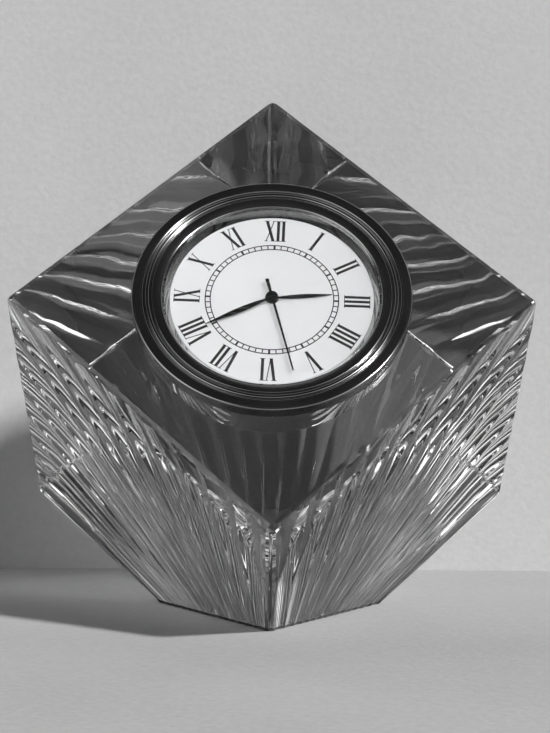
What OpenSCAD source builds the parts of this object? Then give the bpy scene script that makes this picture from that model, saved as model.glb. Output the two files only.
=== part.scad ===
// Crystal cube clock: a fluted glass cube that stands on one cut corner, with a round quartz clock
// insert pushed into a blind bore in its front upper face.
// The block stands on z = 0 with its body diagonal upright. Every piece of the insert is drawn in the
// frame of that front face: z = 0 on the glass, +z out of it, +y up the face, +x to the viewer's right.

/* [Crystal block] */
// Side of the cube before its corner is cut off
cube_side = 57; // [55:0.5:64]
// Length of each of the three edges that the base cuts away
corner_cut = 26.9; // [24:0.1:29]
// Leg of the polished bevel along every edge of the cube
edge_bevel = 0.9; // [0.5:0.1:1.4]
// How far the corners of the cube are rounded back
corner_round = 0.9; // [0.85:0.05:1.6]
// Diameter of the blind bore that takes the insert
bore_d = 37; // [36.8:0.1:38]
// Depth of the blind bore
bore_depth = 13.6; // [13.4:0.1:18]

/* [Flutes] */
// Flutes cut into each of the three lower faces
flute_count = 15; // [9:1:19]
// Angle between one flute and the next, seen from the cut corner
flute_step = 5.73; // [4.5:0.01:5.8]
// Depth of a flute at one cube side from the cut corner
flute_depth = 0.62; // [0.25:0.01:0.7]
// Angle of the flat that is left between two flutes
flute_land = 0.5; // [0.1:0.02:0.8]

/* [Bezel and lens] */
// Outer diameter of the bezel
bezel_d = 42.1; // [40.8:0.1:44]
// Height of the bezel over the glass
bezel_h = 2; // [1.8:0.05:2.6]
// Width of the flat outer band of the bezel
bezel_band = 1.7; // [1.3:0.05:2]
// Radius of the bead inside the outer band
bead_r = 0.42; // [0.3:0.01:0.5]
// Diameter of the opening that the lens sits in
lens_seat_d = 32.9; // [32.4:0.1:33.3]
// Thickness of the lens
lens_t = 0.5; // [0.4:0.05:0.7]
// Depth of the lens below the top of the bezel
lens_drop = 0.45; // [0.35:0.05:0.6]
// Height of the sloping reflector ring between dial and lens
reflector_h = 1.06; // [1.04:0.02:1.4]
// Diameter of the dial that shows inside the reflector ring
dial_show_d = 30.4; // [29:0.1:31]
// Thickness of the bezel's skirt inside the case
skirt_t = 0.5; // [0.4:0.05:0.6]
// Depth of the bezel's skirt below the glass
skirt_depth = 1.2; // [0.8:0.1:1.5]

/* [Case] */
// Wall of the case
case_t = 0.6; // [0.5:0.05:0.7]
// Room behind the circuit board
rear_room = 2.1; // [2:0.1:3]
// Thickness of the rear cover
cover_t = 0.8; // [0.6:0.1:1.2]
// Thickness of the gasket band between its ribs
gasket_t = 0.35; // [0.25:0.05:0.4]
// Ribs round the gasket band
gasket_ribs = 4; // [2:1:6]
// How far the insert is turned clockwise in its bore
insert_turn = 2.2; // [0:0.1:5]

/* [Dial and hands] */
// Thickness of the dial
dial_t = 0.4; // [0.3:0.05:0.5]
// Length of the hour hand from the centre
hour_hand_len = 9; // [7:0.1:10]
// Length of the minute hand from the centre
minute_hand_len = 10.9; // [10:0.1:13]
// Length of the second hand from the centre
second_hand_len = 13.7; // [12:0.1:14.2]
// Length of the second hand's tail
second_tail_len = 3.3; // [2:0.1:5]
// Widest part of the hour hand
hour_hand_w = 0.8; // [0.5:0.05:1.2]
// Widest part of the minute hand
minute_hand_w = 0.85; // [0.5:0.05:1.2]
// Width of the second hand at the hub
second_hand_w = 0.34; // [0.2:0.02:0.5]
// Thickness of the hour and minute hands
hand_t = 0.12; // [0.08:0.01:0.14]
// Angle of the hour hand, clockwise from twelve
hour_angle = 83.5; // [0:0.5:360]
// Angle of the minute hand, clockwise from twelve
minute_angle = 241; // [0:0.5:360]
// Angle of the second hand, clockwise from twelve
second_angle = 164.5; // [0:0.5:360]

/* [Movement] */
// Depth of the recess for the motion work in the main plate
motion_room = 1.2; // [1.2:0.05:1.5]
// Thickness of the main plate under the motion work
plate_t = 0.8; // [0.7:0.05:1.2]
// Room between the main plate and the train bridge
train_room = 3.85; // [3.85:0.05:4.6]
// Thickness of the train bridge
bridge_t = 0.7; // [0.6:0.05:1]
// Thickness of the circuit board
board_t = 0.6; // [0.5:0.05:0.8]
// Thickness of each wheel
wheel_t = 0.35; // [0.25:0.01:0.36]
// Tooth module of the train and of the motion work
tooth_module = 0.15; // [0.14:0.001:0.151]
// Radius of the seconds arbor
seconds_arbor_r = 0.125; // [0.11:0.005:0.13]
// Radius of the shaft that the setting knob turns
setting_shaft_r = 0.4; // [0.35:0.01:0.45]
// Diameter of the setting knob
knob_d = 6; // [5:0.1:6.4]
// Thickness of the setting knob
knob_t = 1.4; // [1.2:0.1:1.6]
// Diameter of the coin cell
cell_d = 11.6; // [11:0.1:11.8]
// Height of the coin cell
cell_h = 5.4; // [4.8:0.1:5.6]
// Diameter of the coil winding
winding_d = 3.4; // [2.8:0.1:3.6]
// Length of the coil winding
winding_len = 7.2; // [6:0.1:7.6]

/* [Hidden] */

fine = 96;
bore_fn = 64;
eps = 0.01;
run_fit = 0.03;  // radial clearance of a turning fit
push_fit = 0.03; // radial clearance of a piece that is pushed in and stays
slide_fit = 0.05; // radial clearance of the gasket in the glass

// Attitude of the block: each face of a cube leans by this angle once the body diagonal is upright
lean = atan(sqrt(2));
base_drop = corner_cut / sqrt(3);
face_y = -cube_side / sqrt(6);
face_z = 2 * cube_side / sqrt(3) - base_drop;

// Levels of the insert, from the top of the bezel back into the bore
lens_top = bezel_h - lens_drop;
lens_back = lens_top - lens_t;
dial_front = lens_back - reflector_h;
dial_back = dial_front - dial_t;
motion_floor = dial_back - motion_room;
plate_back = motion_floor - plate_t;
bridge_front = plate_back - train_room;
bridge_back = bridge_front - bridge_t;
board_back = bridge_back - board_t;
cover_front = board_back - rear_room;
cover_back = cover_front - cover_t;
case_back = cover_front;

// Radii of the shell
bore_r = bore_d / 2;
bezel_r = bezel_d / 2;
seat_r = lens_seat_d / 2;
dial_r = seat_r - push_fit;
gasket_r = bore_r - slide_fit;
case_r = seat_r + skirt_t + push_fit + case_t;
case_bore_r = case_r - case_t;
gasket_in_r = case_r + push_fit;
gasket_depth = 7;

// Centre stack: each pipe turns on the one inside it
tube_in_r = seconds_arbor_r + run_fit;
tube_r = tube_in_r + 0.15;
cannon_in_r = tube_r + run_fit;
cannon_r = cannon_in_r + 0.17;
hour_in_r = cannon_r + run_fit;
hour_pipe_r = hour_in_r + 0.19;
dial_hole_r = hour_pipe_r + 0.12;
hub_r = hour_pipe_r + 0.36;

// Levels of the hands over the dial
hour_hand_z = dial_front + 0.16;
minute_hand_z = hour_hand_z + hand_t + 0.12;
second_hand_z = minute_hand_z + hand_t + 0.12;
second_hand_t = 0.1;

// Levels of the wheels behind the main plate
wheel_gap = 0.25;
pinion_over = 0.06;
centre_wheel_z = plate_back - wheel_gap - wheel_t;
strip_t = 0.3;
strip_z = centre_wheel_z - 0.2 - strip_t;
third_wheel_z = strip_z - 0.2 - wheel_t;
step_wheel_z = third_wheel_z - wheel_gap - wheel_t;
seconds_wheel_z = step_wheel_z - wheel_gap - wheel_t;
magnet_h = 1.05;
magnet_z = seconds_wheel_z + wheel_t - 0.1 - magnet_h;
stator_t = 0.5;
stator_z = magnet_z + 0.25;
pivot_r = 0.12;
pivot_len = 0.4;
arbor_r = 0.2;

// Motion work in front of the main plate
motion_gap = 0.1;
minute_wheel_z = motion_floor + motion_gap;
hour_wheel_z = minute_wheel_z + wheel_t + 0.15;

// Tooth counts: the rotor turns 30 times and the step wheel 7.5 times to one turn of the second hand
rotor_teeth = 8;
step_teeth = 32;
step_pinion_teeth = 8;
seconds_teeth = 60;
seconds_pinion_teeth = 8;
third_teeth = 64;
third_pinion_teeth = 8;
centre_teeth = 60;
cannon_teeth = 12;
minute_teeth = 36;
minute_pinion_teeth = 10;
hour_teeth = 40;
setting_teeth = 12;

// Distances between arbors follow from the teeth
step_dist = tooth_module * (step_pinion_teeth + seconds_teeth) / 2;
rotor_dist = tooth_module * (rotor_teeth + step_teeth) / 2;
third_dist = tooth_module * (seconds_pinion_teeth + third_teeth) / 2;
centre_module = 2 * third_dist / (third_pinion_teeth + centre_teeth);
minute_dist = tooth_module * (cannon_teeth + minute_teeth) / 2;
hour_module = 2 * minute_dist / (minute_pinion_teeth + hour_teeth);
setting_dist = tooth_module * (minute_teeth + setting_teeth) / 2;

// Directions in which the arbors stand from each other
third_dir = 80;
step_dir = -50;
rotor_dir = -20;
minute_dir = 130;
setting_dir = 135;
strip_dir = 160;

third_at = third_dist * [cos(third_dir), sin(third_dir)];
step_at = step_dist * [cos(step_dir), sin(step_dir)];
rotor_at = step_at + rotor_dist * [cos(rotor_dir), sin(rotor_dir)];
minute_at = minute_dist * [cos(minute_dir), sin(minute_dir)];
setting_at = minute_at + setting_dist * [cos(setting_dir), sin(setting_dir)];

// Coin cell, its contacts and its cap
cell_r = cell_d / 2;
cell_at = [-9.1, -5.3];
cell_room = 0.3;
contact_t = 0.25;
cell_front = plate_back - 2 * contact_t - 0.1;
cell_back = cell_front - cell_h;
cap_r = cell_r + 0.3;
cap_fit = 0.1;
lug_r = cap_r + 0.4;
lug_arc = 40;
lug_dir = [20, 200];
cap_turn = 50;
contact_side = cell_at[1] + cell_r + 0.02;
contact_w = 2.4;
riser_at = [-11.8, 2.2];
riser_w = 1.6;

// Coil along x below the train
coil_at = [4, -10.8];
core_t = 0.4;
core_w = 1.2;
coil_z = stator_z - core_t / 2;
flange_t = 0.4;
core_over = 1.5;
core_len = winding_len + 2 * flange_t + 2 * core_over;
winding_r = winding_d / 2;
spool_r = 0.85;
coil_end = core_len / 2;
peg_r = 0.55;
peg_reach = coil_end - core_over / 2 + 0.1;

// Places of the four posts that carry the train bridge
post_at = [[11.7, 4.3], [-2.3, 13.3], [13.3, -5], [-4.6, -13.4]];
post_r = 1.2;
screw_r = 0.45;
screw_head_r = 0.95;
screw_head_h = 0.5;
strip_reach = 6.2;
strip_w = 1.6;
strip_post_r = 0.8;

plate_r = case_bore_r - 0.1;
bridge_r = plate_r - 0.3;
board_in_r = 5.6;
board_out_r = 15.4;
board_from = -28;
board_to = 172;
cover_ring_t = 0.9;
knob_gap = 0.2;
knob_teeth = 24;

// Frame of the front face, turned as the insert is turned
module on_face() {
    translate([0, face_y, face_z]) rotate([lean, 0, 0]) children();
}

module in_insert() {
    on_face() rotate([0, 0, -insert_turn]) children();
}

module at(place, z = 0) {
    translate([place[0], place[1], z]) children();
}

module ring(outer, inner, h, fn = bore_fn) {
    difference() {
        cylinder(h = h, r = outer, $fn = fn);
        translate([0, 0, -1]) cylinder(h = h + 2, r = inner, $fn = fn);
    }
}

// Outline of a toothed wheel: six points a tooth, thinner at the tip than at the root
module tooth_outline(teeth, size, turn = 0) {
    pitch = 360 / teeth;
    r = size * teeth / 2;
    profile = [[-0.31, -1.2], [-0.23, 0], [-0.1, 0.85], [0.1, 0.85], [0.23, 0], [0.31, -1.2]];
    polygon([for (k = [0 : teeth - 1], p = profile)
        let (angle = turn + (k + p[0]) * pitch, radius = r + p[1] * size)
        radius * [cos(angle), sin(angle)]]);
}

module toothed(teeth, size, h, turn = 0) {
    linear_extrude(height = h) tooth_outline(teeth, size, turn);
}

// Turn of a wheel's outline that meshes with one turned by other_turn, which stands in direction dir from it
function meshed(other_teeth, other_turn, teeth, dir) =
    dir + 180 + 180 / teeth - (other_turn - dir) * other_teeth / teeth;

// Wheel with a rim, a hub and four crossings
module crossed_wheel(teeth, size, h, turn, hub, bore) {
    root = size * (teeth / 2 - 1.2);
    rim = root - 2.6 * size;
    difference() {
        toothed(teeth, size, h, turn);
        translate([0, 0, -1]) cylinder(h = h + 2, r = bore, $fn = bore_fn);
        for (quarter = [0 : 3])
            rotate([0, 0, 45 + 90 * quarter])
                translate([0, 0, -1]) linear_extrude(height = h + 2)
                    crossing(hub, rim);
    }
}

// One opening between two spokes
module crossing(hub, rim) {
    spoke = 0.16 * rim;
    intersection() {
        difference() {
            circle(r = rim, $fn = bore_fn);
            circle(r = hub, $fn = bore_fn);
        }
        translate([spoke / 2 / sin(45), 0]) rotate([0, 0, -45]) square(rim * 1.2);
    }
}

// Cone that cuts one flute: it meets the face in two straight lines from the corner
module flute_cutter() {
    half_width = (flute_step - flute_land) / 2;
    bite = atan(flute_depth / cube_side);
    rise = (half_width * half_width - bite * bite) / (2 * bite);
    spread = rise + bite;
    reach = 1.6 * cube_side;
    rotate([-90 - rise, 0, 0]) cylinder(h = reach, r1 = 0, r2 = reach * tan(spread), $fn = fine);
}

// Fan of flutes over one lower face, from the corner that the base cuts off
module flute_fan() {
    translate([0, 0, -base_drop]) rotate([lean, 0, 0])
        for (k = [0 : flute_count - 1])
            rotate([0, 0, (k - (flute_count - 1) / 2) * flute_step]) flute_cutter();
}

module bevelled_cube() {
    across = (cube_side - edge_bevel) * sqrt(2);
    tall = 2 * cube_side;
    intersection() {
        cube(cube_side, center = true);
        rotate([45, 0, 0]) cube([tall, across, across], center = true);
        rotate([0, 45, 0]) cube([across, tall, across], center = true);
        rotate([0, 0, 45]) cube([across, across, tall], center = true);
        sphere(r = cube_side * sqrt(3) / 2 - corner_round, $fn = fine);
    }
}

module crystal_block() {
    color([0.86, 0.88, 0.9, 0.35]) difference() {
        on_face() rotate([0, 0, 45]) translate([0, 0, -cube_side / 2]) bevelled_cube();
        translate([-cube_side, -cube_side, -cube_side]) cube([2 * cube_side, 2 * cube_side, cube_side]);
        on_face() translate([0, 0, -bore_depth]) cylinder(h = bore_depth + 1, r = bore_r, $fn = bore_fn);
        for (side = [0 : 2]) rotate([0, 0, 120 * side]) flute_fan();
    }
}

// Section of the bezel, from the bore of the lens seat outwards
function arc(centre, r, from, to, steps) =
    [for (k = [0 : steps]) let (a = from + (to - from) * k / steps) centre + r * [cos(a), sin(a)]];

module bezel_section() {
    round_r = 0.28;
    band_in = bezel_r - bezel_band;
    groove = 0.3;
    bead_at = [band_in - 0.12 - bead_r, bezel_h - 0.3];
    bead_low = bead_at[0] - bead_r;
    lip_z = lens_top + 0.08;
    polygon(concat(
        [[seat_r, 0], [bezel_r - 0.1, 0], [bezel_r, 0.1]],
        arc([bezel_r - round_r, bezel_h - round_r], round_r, 0, 90, 6),
        [[band_in, bezel_h - 0.05], [band_in - 0.08, bezel_h - groove]],
        arc(bead_at, bead_r, 20, 150, 8),
        [[bead_low - 0.02, bezel_h - groove], [bead_low - 0.1, bezel_h - 0.14]],
        [[seat_r + 0.12, lip_z], [seat_r, lip_z - 0.1]]));
}

module bezel() {
    color([0.16, 0.16, 0.17]) in_insert() {
        rotate_extrude($fn = fine) bezel_section();
        translate([0, 0, -skirt_depth]) ring(seat_r + skirt_t, seat_r, skirt_depth + 0.2, fine);
    }
}

module lens() {
    bevel = 0.12;
    r = seat_r - push_fit;
    color([0.9, 0.95, 1, 0.3]) in_insert() translate([0, 0, lens_back])
        rotate_extrude($fn = fine)
            polygon([[0, 0], [r, 0], [r, lens_t - bevel], [r - bevel, lens_t], [0, lens_t]]);
}

module reflector_ring() {
    r = seat_r - push_fit;
    lip = 0.25;
    color([0.55, 0.55, 0.57]) in_insert() translate([0, 0, dial_front])
        rotate_extrude($fn = fine)
            polygon([[dial_show_d / 2, 0], [r, 0], [r, reflector_h], [r - lip, reflector_h],
                [dial_show_d / 2, 0.08]]);
}

// Feet of the dial, which stand in holes of the main plate
foot_dir = [35, 215];
foot_r = 0.4;
foot_reach = 13.8;

module dial() {
    color([0.96, 0.96, 0.95]) in_insert() {
        translate([0, 0, dial_back]) ring(dial_r, dial_hole_r, dial_t, fine);
        for (dir = foot_dir)
            rotate([0, 0, dir]) translate([foot_reach, 0, motion_floor + 0.2])
                cylinder(h = dial_back - motion_floor, r = foot_r, $fn = bore_fn);
    }
}

module insert_case() {
    color([0.72, 0.72, 0.74]) in_insert()
        translate([0, 0, case_back]) ring(case_r, case_bore_r, -case_back, fine);
}

module gasket_band() {
    pitch = gasket_depth / gasket_ribs;
    top = -0.8;
    rib = pitch * 0.3;
    color([0.82, 0.82, 0.8]) in_insert() rotate_extrude($fn = fine) polygon(concat(
        [[gasket_in_r, top], [gasket_in_r, top - gasket_depth]],
        [for (k = [gasket_ribs - 1 : -1 : 0], p = [[0, 1], [0, 0.8], [1, 0.65], [1, 0.5], [0, 0.3]])
            [p[0] == 1 ? gasket_r : gasket_in_r + gasket_t, top - (k + p[1]) * pitch]],
        [[gasket_in_r + gasket_t, top]]));
}

module rear_cover() {
    color([0.12, 0.12, 0.13]) in_insert() difference() {
        union() {
            translate([0, 0, cover_back]) cylinder(h = cover_t, r = case_r, $fn = fine);
            translate([0, 0, cover_front - eps])
                ring(plate_r, plate_r - cover_ring_t, bridge_back - cover_front + eps, fine);
            at(setting_at, cover_front - eps) cylinder(h = 0.5, r = 1.4, $fn = bore_fn);
        }
        at(setting_at, cover_back - 1) cylinder(h = cover_t + 3, r = setting_shaft_r + run_fit, $fn = bore_fn);
        at(cell_at, cover_back - 1) cylinder(h = cover_t + 2, r = cap_r + cap_fit, $fn = fine);
        at(cell_at, cover_back + cover_t / 2)
            cylinder(h = bridge_back - cover_back, r = lug_r + 0.15, $fn = fine);
        for (dir = lug_dir)
            at(cell_at, cover_back - 1) rotate([0, 0, dir - cap_turn - 2])
                rotate_extrude(angle = lug_arc + 4, $fn = fine)
                    translate([cap_r - 1, 0]) square([lug_r - cap_r + 1.1, cover_t / 2 + 1.1]);
    }
}

// Bayonet cap over the coin cell, with a slot for a coin and two lugs behind the edge of the cover
module battery_cap() {
    slot_w = 1.2;
    lug_t = cover_t / 2 - 0.1;
    color([0.14, 0.14, 0.15]) in_insert() at(cell_at) difference() {
        union() {
            translate([0, 0, cover_back]) cylinder(h = cover_t, r = cap_r, $fn = fine);
            translate([0, 0, cover_front - eps])
                cylinder(h = cell_back - cover_front - 0.05 + eps, r = cell_r - 1, $fn = fine);
            for (dir = lug_dir)
                translate([0, 0, cover_front - lug_t - 0.05]) rotate([0, 0, dir])
                    rotate_extrude(angle = lug_arc, $fn = fine)
                        translate([cap_r - 0.5, 0]) square([lug_r - cap_r + 0.5, lug_t]);
        }
        translate([-cap_r * 0.7, -slot_w / 2, cover_back - 1]) cube([cap_r * 1.4, slot_w, 1.5]);
    }
}

module motion_recess(h) {
    cylinder(h = h, r = hour_module * hour_teeth / 2 + 0.6, $fn = bore_fn);
    at(minute_at) cylinder(h = h, r = tooth_module * minute_teeth / 2 + 0.5, $fn = bore_fn);
    at(setting_at) cylinder(h = h, r = tooth_module * setting_teeth / 2 + 0.5, $fn = bore_fn);
}

module main_plate() {
    color([0.78, 0.72, 0.5]) in_insert() difference() {
        union() {
            translate([0, 0, plate_back]) cylinder(h = dial_back - plate_back, r = plate_r, $fn = fine);
            for (place = post_at)
                at(place, bridge_front) cylinder(h = plate_back - bridge_front + eps, r = post_r, $fn = bore_fn);
            for (end = [0, 180])
                rotate([0, 0, strip_dir + end]) translate([strip_reach, 0, strip_z + strip_t])
                    cylinder(h = plate_back - strip_z - strip_t + eps, r = strip_post_r, $fn = bore_fn);
            for (side = [-1, 1])
                translate([coil_at[0] + side * peg_reach, coil_at[1], stator_z + stator_t])
                    cylinder(h = plate_back - stator_z - stator_t + eps, r = peg_r, $fn = bore_fn);
        }
        difference() {
            translate([0, 0, motion_floor]) motion_recess(motion_room + 1);
            at(minute_at, motion_floor - 1)
                cylinder(h = 1 + motion_room - 0.1, r = arbor_r, $fn = bore_fn);
        }
        translate([0, 0, dial_back - skirt_depth - 0.2])
            ring(plate_r + 1, seat_r - 0.1, skirt_depth + 1, fine);
        translate([0, 0, plate_back - 1]) cylinder(h = plate_t + 2, r = cannon_r + run_fit, $fn = bore_fn);
        at(setting_at, plate_back - 1) cylinder(h = plate_t + 2, r = setting_shaft_r + run_fit, $fn = bore_fn);
        for (place = [third_at, step_at, rotor_at])
            at(place, plate_back - 1) cylinder(h = 1 + pivot_len + 0.05, r = pivot_r + run_fit, $fn = bore_fn);
        for (place = post_at)
            at(place, bridge_front - 1) cylinder(h = 3, r = screw_r, $fn = bore_fn);
        for (dir = foot_dir)
            rotate([0, 0, dir]) translate([foot_reach, 0, motion_floor])
                cylinder(h = motion_room + 1, r = foot_r + push_fit, $fn = bore_fn);
    }
}

// Strip behind the centre wheel that carries the fixed centre tube
module centre_bridge() {
    color([0.8, 0.74, 0.52]) in_insert() difference() {
        union() {
            rotate([0, 0, strip_dir]) translate([-strip_reach, -strip_w / 2, strip_z])
                cube([2 * strip_reach, strip_w, strip_t]);
            for (end = [0, 180])
                rotate([0, 0, strip_dir + end]) translate([strip_reach, 0, strip_z])
                    cylinder(h = strip_t, r = strip_w / 2, $fn = bore_fn);
            translate([0, 0, strip_z])
                cylinder(h = minute_hand_z - 0.06 - strip_z, r = tube_r, $fn = bore_fn);
        }
        translate([0, 0, strip_z - 1])
            cylinder(h = minute_hand_z - strip_z + 2, r = tube_in_r, $fn = bore_fn);
    }
}

module train_bridge() {
    color([0.75, 0.75, 0.77]) in_insert() difference() {
        translate([0, 0, bridge_front - bridge_t]) cylinder(h = bridge_t, r = bridge_r, $fn = fine);
        at(cell_at, bridge_back - 1) cylinder(h = bridge_t + 2, r = cell_r + cell_room, $fn = fine);
        translate([coil_at[0] - core_len / 2 - 0.8, coil_at[1] - winding_r - 0.5, bridge_back - 1])
            cube([core_len + 1.6, 2 * winding_r + 1, bridge_t + 2]);
        for (place = [third_at, step_at, rotor_at])
            at(place, bridge_front - pivot_len - 0.05)
                cylinder(h = pivot_len + 1, r = pivot_r + run_fit, $fn = bore_fn);
        translate([0, 0, bridge_front - pivot_len - 0.05])
            cylinder(h = pivot_len + 1, r = seconds_arbor_r + run_fit, $fn = bore_fn);
        at(setting_at, bridge_back - 1)
            cylinder(h = bridge_t + 2, r = setting_shaft_r + run_fit, $fn = bore_fn);
        for (place = post_at)
            at(place, bridge_back - 1) cylinder(h = bridge_t + 2, r = screw_r + 0.05, $fn = bore_fn);
        at(riser_at, bridge_back - 1) translate([-riser_w / 2 - 0.3, -contact_t - 0.3, 0])
            cube([riser_w + 0.6, 2 * contact_t + 0.6, bridge_t + 2]);
        translate([cell_at[0] - contact_w / 2 - 0.2, cell_at[1], bridge_back - 1])
            cube([contact_w + 0.4, cell_r + contact_t + 0.3, bridge_t + 2]);
    }
}

module plate_screws() {
    slot_w = 0.25;
    color([0.6, 0.6, 0.63]) in_insert() for (place = post_at)
        at(place) difference() {
            union() {
                translate([0, 0, bridge_back - screw_head_h])
                    cylinder(h = screw_head_h, r = screw_head_r, $fn = bore_fn);
                translate([0, 0, bridge_back - eps])
                    cylinder(h = bridge_t + 1.6, r = screw_r - 0.02, $fn = bore_fn);
            }
            translate([-screw_head_r - 1, -slot_w / 2, bridge_back - screw_head_h - 1])
                cube([2 * screw_head_r + 2, slot_w, 1.2]);
        }
}

// Board on the back of the train bridge: a sector of a ring with notches for the screws and the shaft
module board_outline() {
    difference() {
        intersection() {
            difference() {
                circle(r = board_out_r, $fn = fine);
                circle(r = board_in_r, $fn = fine);
            }
            polygon(concat([[0, 0]], [for (k = [0 : 7])
                let (a = board_from + (board_to - board_from) * k / 7) 30 * [cos(a), sin(a)]]));
        }
        for (place = post_at) translate(place) circle(r = screw_head_r + 0.3, $fn = bore_fn);
        translate(setting_at) circle(r = setting_shaft_r + 0.5, $fn = bore_fn);
        translate(cell_at) circle(r = cell_r + cell_room + 0.5, $fn = fine);
    }
}

module circuit_board() {
    color([0.1, 0.35, 0.2]) in_insert()
        translate([0, 0, board_back]) linear_extrude(height = board_t) board_outline();
}

// Epoxy cap over the chip
module chip_cover() {
    chip_at = [11, -1];
    color([0.05, 0.05, 0.05]) in_insert() at(chip_at, board_back) rotate([180, 0, 0])
        rotate_extrude($fn = bore_fn) polygon(concat([[0, 0]], arc([1.2, 0.05], 0.7, 0, 90, 6), [[0, 0.75]]));
}

// Tuning-fork crystal in its tin can, lying on the board
module quartz_can() {
    can_r = 0.95;
    can_len = 6;
    can_dir = 52;
    color([0.8, 0.8, 0.82]) in_insert() rotate([0, 0, can_dir])
        translate([10.2, -can_len / 2, board_back - can_r]) rotate([-90, 0, 0]) {
            cylinder(h = can_len, r = can_r, $fn = bore_fn);
            for (side = [-0.35, 0.35])
                translate([side, 0, -1.2]) cylinder(h = 1.3, r = 0.15, $fn = bore_fn);
        }
}

module coil_core() {
    color([0.5, 0.5, 0.52]) in_insert()
        translate([coil_at[0] - core_len / 2, coil_at[1] - core_w / 2, coil_z - core_t / 2])
            cube([core_len, core_w, core_t]);
}

module coil_bobbin() {
    color([0.9, 0.9, 0.86]) in_insert()
        translate([coil_at[0], coil_at[1], coil_z]) rotate([0, 90, 0]) difference() {
            union() {
                translate([0, 0, -winding_len / 2 - flange_t])
                    cylinder(h = winding_len + 2 * flange_t, r = spool_r, $fn = bore_fn);
                for (side = [-1, 1])
                    translate([0, 0, side * (winding_len + flange_t) / 2 - flange_t / 2])
                        cylinder(h = flange_t, r = winding_r + 0.1, $fn = bore_fn);
            }
            cube([core_t + 0.04, core_w + 0.04, core_len], center = true);
        }
}

module coil_winding() {
    turns = 18;
    pitch = winding_len / turns;
    wave = 0.05;
    color([0.72, 0.38, 0.2]) in_insert()
        translate([coil_at[0] - winding_len / 2, coil_at[1], coil_z]) rotate([0, 90, 0])
            rotate_extrude($fn = bore_fn) polygon(concat([[spool_r, 0]],
                [for (k = [0 : turns - 1], p = [[1, 0.1], [0, 0.5], [0, 0.9]])
                    [winding_r - wave * p[0], (k + p[1]) * pitch]],
                [[spool_r, winding_len]]));
}

// Stator plate: a block round the rotor and two arms down to the ends of the coil core
module stator() {
    hole_r = 1.45;
    block = 2.1;
    arm = 1.9;
    arm_y = coil_at[1] + winding_r + 0.9;
    left = coil_at[0] - coil_end;
    right = coil_at[0] + coil_end;
    low = coil_at[1] - core_w / 2 - 0.3;
    color([0.62, 0.62, 0.65]) in_insert() translate([0, 0, stator_z]) linear_extrude(height = stator_t)
        difference() {
            union() {
                translate([rotor_at[0] - block, arm_y]) square([2 * block, rotor_at[1] + block - arm_y]);
                translate([left, arm_y]) square([right - left, arm]);
                translate([left, low]) square([core_over - 0.2, arm_y - low + 0.1]);
                translate([right - core_over + 0.2, low]) square([core_over - 0.2, arm_y - low + 0.1]);
            }
            translate(rotor_at) circle(r = hole_r, $fn = bore_fn);
        }
}

// Arbor with a pivot at each end, from the main plate to the train bridge
module arbor(front = plate_back, back = bridge_front) {
    shake = 0.06;
    translate([0, 0, back + shake]) cylinder(h = front - back - 2 * shake, r = arbor_r, $fn = bore_fn);
    translate([0, 0, back - pivot_len])
        cylinder(h = front - back + 2 * pivot_len, r = pivot_r, $fn = bore_fn);
}

module pinion(teeth, size, z, turn) {
    translate([0, 0, z - pinion_over]) toothed(teeth, size, wheel_t + 2 * pinion_over, turn);
}

step_turn = meshed(rotor_teeth, rotor_dir + 180, step_teeth, rotor_dir + 180);
seconds_turn = meshed(step_pinion_teeth, step_dir + 180, seconds_teeth, step_dir + 180);
third_turn = meshed(seconds_pinion_teeth, third_dir, third_teeth, third_dir);
centre_turn = meshed(third_pinion_teeth, third_dir + 180, centre_teeth, third_dir + 180);
cannon_turn = minute_dir;
minute_turn = meshed(cannon_teeth, cannon_turn, minute_teeth, minute_dir);
hour_turn = meshed(minute_pinion_teeth, minute_dir + 180, hour_teeth, minute_dir + 180);
setting_turn = meshed(minute_teeth, minute_turn, setting_teeth, setting_dir);

module rotor() {
    color([0.35, 0.35, 0.37]) in_insert() at(rotor_at) {
        arbor();
        pinion(rotor_teeth, tooth_module, step_wheel_z, rotor_dir + 180);
        translate([0, 0, magnet_z]) cylinder(h = magnet_h, r = 1.25, $fn = bore_fn);
    }
}

module step_wheel() {
    color([0.85, 0.7, 0.35]) in_insert() at(step_at) {
        arbor();
        translate([0, 0, step_wheel_z])
            crossed_wheel(step_teeth, tooth_module, wheel_t, step_turn, 0.55, arbor_r - eps);
        pinion(step_pinion_teeth, tooth_module, seconds_wheel_z, step_dir + 180);
    }
}

module seconds_wheel() {
    back = bridge_front - pivot_len;
    color([0.85, 0.7, 0.35]) in_insert() {
        translate([0, 0, back]) cylinder(h = second_hand_z - back, r = seconds_arbor_r, $fn = bore_fn);
        translate([0, 0, seconds_wheel_z])
            crossed_wheel(seconds_teeth, tooth_module, wheel_t, seconds_turn, 0.8, seconds_arbor_r - eps);
        pinion(seconds_pinion_teeth, tooth_module, third_wheel_z, third_dir);
    }
}

module third_wheel() {
    color([0.85, 0.7, 0.35]) in_insert() at(third_at) {
        arbor();
        translate([0, 0, third_wheel_z])
            crossed_wheel(third_teeth, tooth_module, wheel_t, third_turn, 0.8, arbor_r - eps);
        pinion(third_pinion_teeth, centre_module, centre_wheel_z, third_dir + 180);
    }
}

module centre_wheel() {
    color([0.85, 0.7, 0.35]) in_insert() translate([0, 0, centre_wheel_z])
        crossed_wheel(centre_teeth, centre_module, wheel_t, centre_turn, 1.1, cannon_r + run_fit);
}

module cannon_pinion() {
    back = centre_wheel_z - 0.1;
    color([0.8, 0.68, 0.36]) in_insert() difference() {
        union() {
            translate([0, 0, back])
                cylinder(h = minute_hand_z + hand_t - back, r = cannon_r, $fn = bore_fn);
            translate([0, 0, minute_wheel_z]) toothed(cannon_teeth, tooth_module, wheel_t, cannon_turn);
        }
        translate([0, 0, back - 1])
            cylinder(h = minute_hand_z - back + 3, r = cannon_in_r, $fn = bore_fn);
    }
}

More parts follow.
